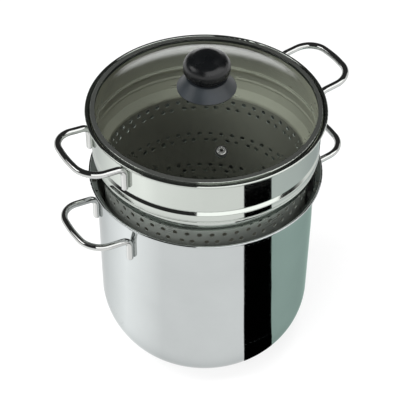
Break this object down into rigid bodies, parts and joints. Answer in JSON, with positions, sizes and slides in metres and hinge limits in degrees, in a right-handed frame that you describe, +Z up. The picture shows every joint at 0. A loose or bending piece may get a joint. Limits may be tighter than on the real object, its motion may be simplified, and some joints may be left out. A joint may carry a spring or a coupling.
{
  "type": "pasta pot with strainer insert",
  "caption": "Tall polished steel pasta pot with a lift-out perforated strainer insert, bent wire loop handles and a domed glass lid with a steam vent and a round knob.",
  "frame": {"origin": "middle of the standing face under the base", "axes": "+Z up along the pot's axis, X through both pairs of handles, Y across"},
  "size_m": [0.3116, 0.236, 0.3603],
  "materials": {
    "pot_steel": "mirror-polished stainless steel",
    "base_steel": "satin stainless steel",
    "collar_steel": "mirror-polished stainless steel",
    "basket_steel": "satin stainless steel",
    "wire_steel": "polished stainless wire",
    "ring_steel": "polished stainless steel",
    "vent_steel": "polished stainless steel",
    "screw_steel": "plain stainless steel",
    "disc_aluminium": "plain",
    "glass": "clear tempered glass",
    "seal_rubber": "satin",
    "vent_rubber": "satin",
    "knob_black": "glossy moulded phenolic",
    "skirt_grey": "satin moulded plastic",
    "nut_brass": "plain"
  },
  "bodies": {
    "pot": {"pot_shell": "pot_steel", "pot_bottom": "pot_steel", "pot_rim": "pot_steel", "base_heat_disc": "disc_aluminium", "base_cap": "base_steel", "pot_handle_left": "wire_steel", "pot_handle_right": "wire_steel"},
    "strainer": {"strainer_collar": "collar_steel", "strainer_basket": "basket_steel", "strainer_floor": "basket_steel", "strainer_handle_left": "wire_steel", "strainer_handle_right": "wire_steel"},
    "lid": {"lid_glass": "glass", "lid_ring": "ring_steel", "lid_edge_seal": "seal_rubber", "vent_eyelet": "vent_steel", "vent_grommet": "vent_rubber", "vent_washer": "vent_steel", "knob_grip": "knob_black", "knob_skirt": "skirt_grey", "knob_insert_nut": "nut_brass", "knob_screw": "screw_steel", "knob_washer": "screw_steel", "knob_grommet": "seal_rubber", "knob_upper_seal": "seal_rubber"}
  },
  "joints": [
    {"name": "insert_lift", "type": "slide", "parent": "pot", "child": "strainer", "axis": [0, 0, 1], "range_m": [0, 0.24]},
    {"name": "lid_lift", "type": "slide", "parent": "strainer", "child": "lid", "axis": [0, 0, 1], "range_m": [0, 0.1]}
  ]
}
